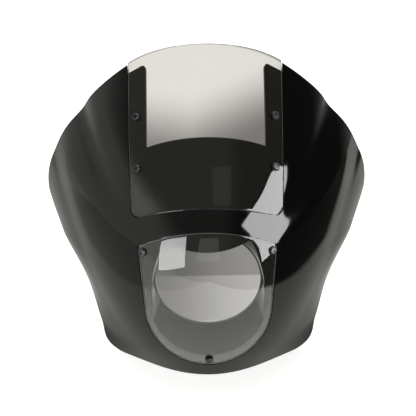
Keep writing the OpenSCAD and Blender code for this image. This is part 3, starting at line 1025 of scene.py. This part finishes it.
@dataclass
class Pane:
    """Clear sheet that follows the skin and fills its rebate."""

    name: str
    node: str
    slot: str
    finish: Polycarbonate
    lines: Outlines = field(default_factory=Outlines)
    screw_seats: list[Matrix] = field(default_factory=list)
    edge_finish: SawnEdge = SawnEdge()
    thickness: float = 3.0
    edge_gap: float = 1.2
    edge_r: float = 0.5
    edge_steps: int = 3
    edge_angle: float = 50.0
    cells: int = 40

    def points(self, depth: float) -> Array:
        """Rows of points over the right half of the sheet, at a depth under the skin."""
        raise NotImplementedError

    def build(self) -> bpy.types.Object:
        """Build the sheet as one closed mesh."""
        faces = []
        for depth in (0.0, self.thickness):
            face = weld(self.name, [patch(self.name, self.points(depth))])
            both_sides(face)
            faces.append(face)
        sheet = join(self.name, faces)
        for finish in (self.finish, self.edge_finish):
            sheet.data.materials.append(finish.material())
        flat = len(sheet.data.polygons)
        bridge(sheet, lambda p: True)
        for rim in sheet.data.polygons[flat:]:
            rim.material_index = 1
        edit_all(sheet, turn_out)
        bevel(sheet, self.edge_r, self.edge_steps, self.edge_angle, use_clamp_overlap=True,
              material=1)
        return sheet

    def dress(self, piece: bpy.types.Object) -> None:
        """Drill the sheet, and let it stand for its solid."""
        drill(piece, self.screw_seats)
        smooth(piece)
        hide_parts(self.node)
        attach(piece, BODY)


@dataclass
class Windscreen(Pane):
    """Windscreen with an arched top and round foot corners."""

    rows: int = 60
    turns: int = 12

    def points(self, depth: float) -> Array:
        """Rows of points over the right half of the windscreen."""
        ln, o = self.lines, -self.edge_gap
        a, r = ln.screen_w/2 + o, ln.foot_corner_r + o
        turn = np.linspace(0, math.pi/2, self.turns + 1)
        xs = np.concatenate(((a - r)*np.linspace(0, 1, self.cells + 1)[:-1], a - r + r*np.sin(turn)))
        t = np.linspace(0, 1, self.rows + 1)[:, None]
        z = lerp(ln.foot_z(xs, o), ln.crown(xs), t)
        return ln.skin.under(ln.leaning(np.broadcast_to(xs, z.shape), z), depth)


@dataclass
class LensCover(Pane):
    """Lens cover with an arched top, slightly drawn-in sides and a round bottom."""

    fine: int = 3
    hub_z: float = -10.0

    def points(self, depth: float) -> Array:
        """Rows of points over the right half of the lens cover."""
        ln = self.lines
        u = np.arange(ln.n_lens*self.fine + 1)/self.fine
        rim = ln.lens(u, -self.edge_gap)
        hub = ln.skin.place(np.array(0.0), np.array(self.hub_z))
        t = np.linspace(0, 1, self.cells + 1)[:, None, None]
        return ln.skin.under(lerp(hub, rim, t), depth)


@dataclass
class ScrewSet:
    """Button-head screws with a nylon washer in front, and a washer and nut behind."""

    prefix: str
    spots: list[tuple[float, float]]
    free_end: float
    skin: Skin = Skin()
    d: float = 6.0
    head_d: float = 10.6
    head_h: float = 3.3
    head_rim: float = 0.6
    head_steps: int = 6
    socket_af: float = 4.0
    tip_chamfer: float = 0.4
    pitch: float = 1.0
    core: float = 0.55
    thread_depth: float = 0.6
    thread_steps: tuple[float, ...] = (0.0, 0.4, 0.55, 0.95)
    washer_d: float = 12.4
    washer_play: float = 0.4
    washer_edge: float = 0.15
    nylon_t: float = 0.8
    steel_t: float = 1.2
    nut_af: float = 10.0
    nut_h: float = 6.0
    nut_play: float = 0.3
    nut_chamfer: float = 0.7
    corner_d: float = 11.3
    gap: float = 0.3
    coat: Plating = Plating.BLACK_OXIDE
    stack: float = 6.3

    @property
    def steel_z(self) -> float:
        """Foot of the steel washer, below the skin."""
        return -self.stack - self.gap - self.steel_t

    @property
    def nut_z(self) -> float:
        """Foot of the nut, below the skin."""
        return self.steel_z - self.nut_h

    def seats(self) -> list[Matrix]:
        """Frames of the screws on the skin."""
        return [self.skin.seat(x, z) for x, z in self.spots]

    def screw(self) -> bpy.types.Object:
        """Model one screw: domed head, hexagon socket and threaded shank."""
        foot = self.gap + self.nylon_t
        head = round_bar(self.head_d, self.head_h, foot)
        bevel(head, self.head_h - self.head_rim, self.head_steps)
        socket = round_bar(self.socket_af/HEX, self.head_h, foot + self.head_h/2, 6)
        cut_away(head, socket)
        tip = self.nut_z - self.free_end
        shank = round_bar(self.d - self.pitch*self.core, foot - tip, tip, 32)
        bevel(shank, self.tip_chamfer, 1)
        return join("screw", [head, shank, self.thread(tip)])

    def thread(self, tip: float, start: float = 0.5, stop: float = 1.5) -> bpy.types.Object:
        """Model the thread as a closed ridge that winds up the shank.

        Args:
            tip: Foot of the shank.
            start: Height of the first turn over the tip.
            stop: Bare length under the skin.

        Returns:
            The ridge.
        """
        crest, p = self.d/2, self.pitch
        root = crest - p*self.thread_depth
        mesh = bpy.data.meshes.new("thread")
        mesh.from_pydata([(r*MM, 0, (tip + start + z*p)*MM) for r, z
                          in zip((root, crest, crest, root), self.thread_steps)],
                         [(i, (i + 1) % 4) for i in range(4)], [])
        ridge = bpy.data.objects.new("thread", mesh)
        bpy.context.collection.objects.link(ridge)
        modify(ridge, "SCREW", angle=math.tau, steps=20, render_steps=20, screw_offset=p*MM,
               iterations=int((-tip - stop)/p), axis="Z", use_smooth_shade=True)
        edit_all(ridge, lambda: bpy.ops.mesh.fill_holes(sides=4))
        edit_all(ridge, turn_out)
        return ridge

    def washer(self, foot: float, t: float) -> bpy.types.Object:
        """Model one washer with broken edges."""
        ring = round_bar(self.washer_d, t, foot)
        cut_away(ring, round_bar(self.d + self.washer_play, t*3, foot - t, 48))
        bevel(ring, self.washer_edge, 2)
        return ring

    def nut(self) -> bpy.types.Object:
        """Model one hexagon nut with chamfered corners."""
        body = round_bar(self.nut_af/HEX, self.nut_h, self.nut_z, 6)
        form = round_bar(self.corner_d, self.nut_h, self.nut_z)
        bevel(form, self.nut_chamfer, 1)
        cut_away(body, form, "INTERSECT")
        cut_away(body, round_bar(self.d + self.nut_play, self.nut_h*3, self.nut_z - self.nut_h, 48))
        return body

    def build_and_dress(self) -> list[bpy.types.Object]:
        """Model each kind of part once, copy it to its seats and dress it."""
        kinds = [
            ("screws", self.screw(), Steel("black_oxide_" + self.prefix, self.coat, metallic=0.9),
             "screw_steel"),
            ("nylon_washers", self.washer(self.gap, self.nylon_t), Nylon(), "washer_nylon"),
            ("steel_washers", self.washer(self.steel_z, self.steel_t),
             Steel("zinc_washer_" + self.prefix, Plating.ZINC), "washer_steel"),
            ("nuts", self.nut(), Steel("zinc_nut_" + self.prefix, Plating.ZINC), "nut_steel"),
        ]
        made = []
        for kind, master, finish, slot in kinds:
            piece = copies(f"{self.prefix}_{kind}_dressed", master, self.seats())
            piece.data.materials.clear()
            piece.data.materials.append(finish.material())
            smooth(piece)
            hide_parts(f"{self.prefix}_{kind}")
            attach(piece, BODY)
            made.append(piece)
        return made


# Studio

@dataclass(frozen=True)
class Softbox:
    """Bright panel that only shows in reflections, seen from the cowl at its corners.

    Each corner is a bearing, in degrees round from straight ahead towards +X, and a
    rise, in degrees up.
    """

    name: str
    corners: tuple[tuple[float, float], ...]
    radiance: float
    distance: float = 2.5

    def outline(self) -> list[Vector]:
        """Places of the corners, in metres."""
        turns = [(math.radians(bearing), math.radians(rise)) for bearing, rise in self.corners]
        return [Vector((math.sin(a)*math.cos(e), -math.cos(a)*math.cos(e), math.sin(e)))*self.distance
                for a, e in turns]


@dataclass
class Studio:
    """Pale floor, soft light, and a camera at the photograph's viewing angle.

    The ramps of the table are over places on the floor in metres, and those of the room
    over the parts of a direction. Their values are brightness, with 1 as white.
    """

    floor_z: float
    elevation: float = 31.5
    distance: float = 2.0
    roll: float = -0.85
    px_mm: float = 1.46
    frame_px: int = 416
    centre_drop_px: float = 70.0
    sensor: float = 36.0
    floor_size: float = 12.0
    floor_colour: str = "#D9D7D2"
    floor_glow: float = 0.86
    room_colour: str = "#FDFEF5"
    table_glow: float = 0.68
    table_edge: Ramp = Ramp(0.42, 0.46)
    table_wedge: float = -0.5
    table_beside: Ramp = Ramp(-0.03, 0.03, 1.0, 0.0)
    table_off: Ramp = Ramp(-0.1, 0.1, 0.47, 0.06)
    table_far: Ramp = Ramp(0.25, 0.55, 1.0, 1.6)
    # painted shade: the table seen through the panes is dim and darker on the left, standing in for the
    # cowl's shadow on it
    pane_side_shade: Ramp = Ramp(-0.09, 0.09, 0.2, 0.56)
    pane_back: Ramp = Ramp(0.25, 0.254, 1.0, 0.62)
    pane_past: Ramp = Ramp(0.4, 0.6)
    pane_glow: float = 0.27
    # painted pool of light on the table far behind, seen through the panes
    pool: Ramp = Ramp(0.66, 1.02, 0.0, 0.8)
    pool_x: float = -0.03
    pool_narrow: float = -0.7
    pool_tilt: float = -0.3
    pane_front: Ramp = Ramp(0.04, 0.12)
    front_gain: float = 2.2
    rear: Ramp = Ramp(0.28, 0.8, 0.0, 0.95)
    left: Ramp = Ramp(-0.72, -0.35, 0.45, 0.0)
    high: Ramp = Ramp(0.38, 0.62, 1.0, 0.0)
    ahead: Ramp = Ramp(0.15, 0.5, 0.18, 0.04)
    pane_room: float = 0.17
    lamp_at: tuple[float, float, float] = (0.0, 0.9, 2.2)
    lamp_aim: tuple[float, float, float] = (0.0, 0.1, 0.0)
    lamp_size: tuple[float, float] = (2.0, 1.4)
    lamp_watts: float = 30.0
    boxes: tuple[Softbox, ...] = (
        Softbox("window_right", ((51, -2), (60, -2), (66, 6), (70, 10), (79, 21), (80, 28),
                                 (74, 34), (66, 37), (53, 34), (32, 28), (39, 21), (45, 12)), 9.0),
        Softbox("window_left", ((-47, -4), (-22, 7.5), (-19.5, 26.5), (-41.5, 18.5)), 7.5),
        Softbox("window_ahead", ((-11, 13.5), (11.5, 13.5), (10, 27), (-7, 27)), 0.7),
        Softbox("window_high", ((6, 42.5), (24, 40), (30, 53.5), (7.5, 56)), 0.35),
    )

    def camera(self) -> None:
        """Place the camera."""
        data = bpy.data.cameras.new("camera")
        data.sensor_width = self.sensor
        data.lens = self.sensor*self.distance/MM/self.px_mm/self.frame_px
        data.shift_y = self.centre_drop_px/self.frame_px
        data.clip_end = 100.0
        camera = bpy.data.objects.new("camera", data)
        bpy.context.collection.objects.link(camera)
        e = math.radians(self.elevation)
        back = Vector((0, -math.cos(e), math.sin(e)))
        turn = (-back).to_track_quat("-Z", "Y").to_matrix().to_4x4()
        camera.matrix_world = (Matrix.Translation(back*self.distance) @ turn
                               @ Matrix.Rotation(math.radians(self.roll), 4, "Z"))
        bpy.context.scene.camera = camera

    def floor(self) -> None:
        """Lay a pale floor that is white to the camera away from the object's shadow."""
        settle()
        bpy.ops.mesh.primitive_plane_add(size=self.floor_size, location=(0, 0, self.floor_z))
        floor = bpy.context.object
        floor.name = "floor"
        bpy.ops.object.transform_apply(location=True)
        colour = linear(self.floor_colour)
        material, tree, seen = new_material(
            "pale_table", Base_Color=colour, Roughness=0.7, Specular_IOR_Level=0.2,
            Emission_Strength=self.floor_glow, Emission_Color=(1, 1, 1, 1))
        where = add_node(tree, "TexCoord")
        axes = add_node(tree, "SeparateXYZ", _0=where.outputs["Object"])
        x, y = axes.outputs[0], axes.outputs[1]
        path = add_node(tree, "LightPath")
        shine = self.table_in_reflections(tree, x, y)
        mirrored = add_node(tree, "Emission", Color=linear(self.room_colour), Strength=shine)
        # rays through the panes see the table with a painted shadow of the cowl and a painted pool of
        # light
        through = add_node(tree, "Emission", Strength=self.table_through_panes(tree, x, y, shine))
        shown = add_node(tree, "BsdfDiffuse", Color=colour)
        for ray, look in (("Is Camera Ray", seen), ("Is Glossy Ray", mirrored),
                          ("Is Transmission Ray", through)):
            shown = add_node(tree, "MixShader", _0=path.outputs[ray], _1=shown, _2=look)
        tree.links.new(shown.outputs[0], tree.nodes["Material Output"].inputs[0])
        floor.data.materials.append(material)
        material.cycles.emission_sampling = "NONE"
        floor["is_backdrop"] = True

    def table_in_reflections(self, tree: bpy.types.NodeTree, x: bpy.types.NodeSocket,
                             y: bpy.types.NodeSocket) -> bpy.types.Node:
        """Brightness of the table in the cowl's reflections.

        Args:
            tree: Node tree of the floor's material.
            x: Place on the floor from left to right.
            y: Place on the floor from front to back.

        Returns:
            The brightness: even on the table, darker past its left edge, dark past its right.
        """
        off = add_node(tree, "Math", {"operation": "ABSOLUTE"}, _0=x)
        past = add_node(tree, "MapRange", _0=off, **self.table_edge.sockets())
        wedge = add_node(tree, "Math", {"operation": "MULTIPLY_ADD"}, _0=off,
                         _1=self.table_wedge, _2=y)
        beside = add_node(tree, "MapRange", _0=wedge, **self.table_beside.sockets())
        away = add_node(tree, "Math", {"operation": "MULTIPLY"}, _0=past, _1=beside)
        room = add_node(tree, "MapRange", _0=x, **self.table_off.sockets())
        sides = add_node(tree, "Mix", _0=away, _2=self.table_glow, _3=room)
        far = add_node(tree, "MapRange", SMOOTH, _0=y, **self.table_far.sockets())
        return add_node(tree, "Math", {"operation": "MULTIPLY"}, _0=sides, _1=far)

    def table_through_panes(self, tree: bpy.types.NodeTree, x: bpy.types.NodeSocket,
                            y: bpy.types.NodeSocket, mirrored: bpy.types.Node) -> bpy.types.Node:
        """Brightness of the table for rays that come through the panes.

        Args:
            tree: Node tree of the floor's material.
            x: Place on the floor from left to right.
            y: Place on the floor from front to back.
            mirrored: Brightness in reflections, of which the front keeps its pattern.

        Returns:
            The brightness: low, and darker on the left, as a painted shadow of the cowl on the table;
            darker past the table's back edge; and a painted pool of light far behind.
        """
        # painted shadow of the cowl on the table, darker on the left
        side = add_node(tree, "MapRange", SMOOTH, _0=x, **self.pane_side_shade.sockets())
        back = add_node(tree, "MapRange", _0=y, **self.pane_back.sockets())
        near = add_node(tree, "Math", {"operation": "MULTIPLY"}, _0=side, _1=back)
        past = add_node(tree, "MapRange", _0=y, **self.pane_past.sockets())
        base = add_node(tree, "Mix", _0=past, _2=near, _3=self.pane_glow)
        # painted pool of light far behind, set by its place, its width and its tilt
        off = add_node(tree, "Math", {"operation": "ADD"}, _0=x, _1=-self.pool_x)
        size = add_node(tree, "Math", {"operation": "ABSOLUTE"}, _0=off)
        low = add_node(tree, "Math", {"operation": "MULTIPLY_ADD"}, _0=size,
                       _1=self.pool_narrow, _2=y)
        tilt = add_node(tree, "Math", {"operation": "MULTIPLY_ADD"}, _0=off,
                        _1=self.pool_tilt, _2=low)
        pool = add_node(tree, "MapRange", SMOOTH, _0=tilt, **self.pool.sockets())
        behind = add_node(tree, "Math", {"operation": "ADD"}, _0=base, _1=pool)
        passed = add_node(tree, "MapRange", _0=y, **self.pane_front.sockets())
        front = add_node(tree, "Math", {"operation": "MULTIPLY"}, _0=mirrored, _1=self.front_gain)
        return add_node(tree, "Mix", _0=passed, _2=front, _3=behind)

    def panel(self, box: Softbox) -> None:
        """Hang one softbox."""
        mesh = bpy.data.meshes.new(box.name)
        mesh.from_pydata(box.outline(), [], [tuple(range(len(box.corners)))])
        panel = bpy.data.objects.new(box.name, mesh)
        bpy.context.collection.objects.link(panel)
        material = bpy.data.materials.new(box.name)
        material.use_nodes = True
        tree = material.node_tree
        tree.nodes.clear()
        path = add_node(tree, "LightPath")
        mirrored = add_node(tree, "Math", {"operation": "SUBTRACT", "use_clamp": True},
                            _0=path.outputs["Is Glossy Ray"], _1=path.outputs["Is Transmission Ray"])
        mix = add_node(tree, "MixShader", _0=mirrored, _1=add_node(tree, "BsdfTransparent"),
                       _2=add_node(tree, "Emission", Strength=box.radiance))
        add_node(tree, "OutputMaterial", Surface=mix)
        material.cycles.emission_sampling = "NONE"
        panel.data.materials.append(material)
        panel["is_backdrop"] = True

    def lamp(self) -> None:
        """Hang the soft lamp over the table."""
        data = bpy.data.lights.new("overhead", "AREA")
        data.shape = "RECTANGLE"
        data.size, data.size_y = self.lamp_size
        data.energy = self.lamp_watts
        light = bpy.data.objects.new("overhead", data)
        light.location = self.lamp_at
        aim = Vector(self.lamp_aim) - Vector(self.lamp_at)
        light.rotation_euler = aim.to_track_quat("-Z", "Y").to_euler()
        bpy.context.collection.objects.link(light)

    def world(self) -> None:
        """Fill the room: white behind, grey on the left, dark in front and on the right."""
        world = bpy.data.worlds.new("studio")
        bpy.context.scene.world = world
        world.use_nodes = True
        tree = world.node_tree
        tree.nodes.clear()
        where = add_node(tree, "TexCoord")
        axes = add_node(tree, "SeparateXYZ", _0=where.outputs["Generated"])
        rear, left, high, ahead = (
            add_node(tree, "MapRange", SMOOTH, _0=axes.outputs[axis], **ramp.sockets())
            for axis, ramp in ((1, self.rear), (0, self.left), (2, self.high), (0, self.ahead)))
        path = add_node(tree, "LightPath")
        front = add_node(tree, "Mix", _0=path.outputs["Is Transmission Ray"], _2=ahead,
                         _3=self.pane_room)
        wall = add_node(tree, "Math", {"operation": "MULTIPLY_ADD"}, _0=left, _1=high, _2=front)
        room = add_node(tree, "Math", {"operation": "ADD"}, _0=rear, _1=wall)
        lit = add_node(tree, "Background", Color=linear(self.room_colour), Strength=room)
        seen = add_node(tree, "Background", Color=(1, 1, 1, 1), Strength=1.0)
        mix = add_node(tree, "MixShader", _0=path.outputs["Is Camera Ray"], _1=lit, _2=seen)
        add_node(tree, "OutputWorld", Surface=mix)

    def build(self) -> None:
        """Set the stage."""
        self.camera()
        self.floor()
        self.world()
        self.lamp()
        for box in self.boxes:
            self.panel(box)
        bpy.context.scene.view_settings.view_transform = "Standard"


def main() -> None:
    """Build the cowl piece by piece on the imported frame."""
    logging.basicConfig(level=logging.INFO, format="%(message)s")
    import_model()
    cad_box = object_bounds()
    lines = Outlines()
    Studio(floor_z=cad_box[0][2]).build()
    sets = [
        ScrewSet("windscreen", lines.screen_spots(), free_end=10.0),
        # the lens screws take the lighter tone of black oxide as painted light
        ScrewSet("lens", lines.lens_spots(), free_end=1.0, coat=Plating.GREY_OXIDE),
    ]
    screen_seats, lens_seats = (screws.seats() for screws in sets)
    shell = CowlShell(lines, screen_seats + lens_seats)
    panes = [
        Windscreen("clear_windscreen", "windscreen", "screen_polycarbonate",
                   Polycarbonate("smoke_polycarbonate", Tint.SMOKE), lines, screen_seats),
        LensCover("clear_lens_cover", "lens_cover", "lens_polycarbonate",
                  Polycarbonate("clear_polycarbonate", Tint.WATER), lines, lens_seats),
    ]
    for part in (shell, *panes):
        piece = part.build()
        part.dress(piece)
        LOG.info("%s: %d faces", piece.name, len(piece.data.polygons))
    for screws in sets:
        for piece in screws.build_and_dress():
            LOG.info("%s: %d faces", piece.name, len(piece.data.polygons))


if __name__ == "__main__":
    main()
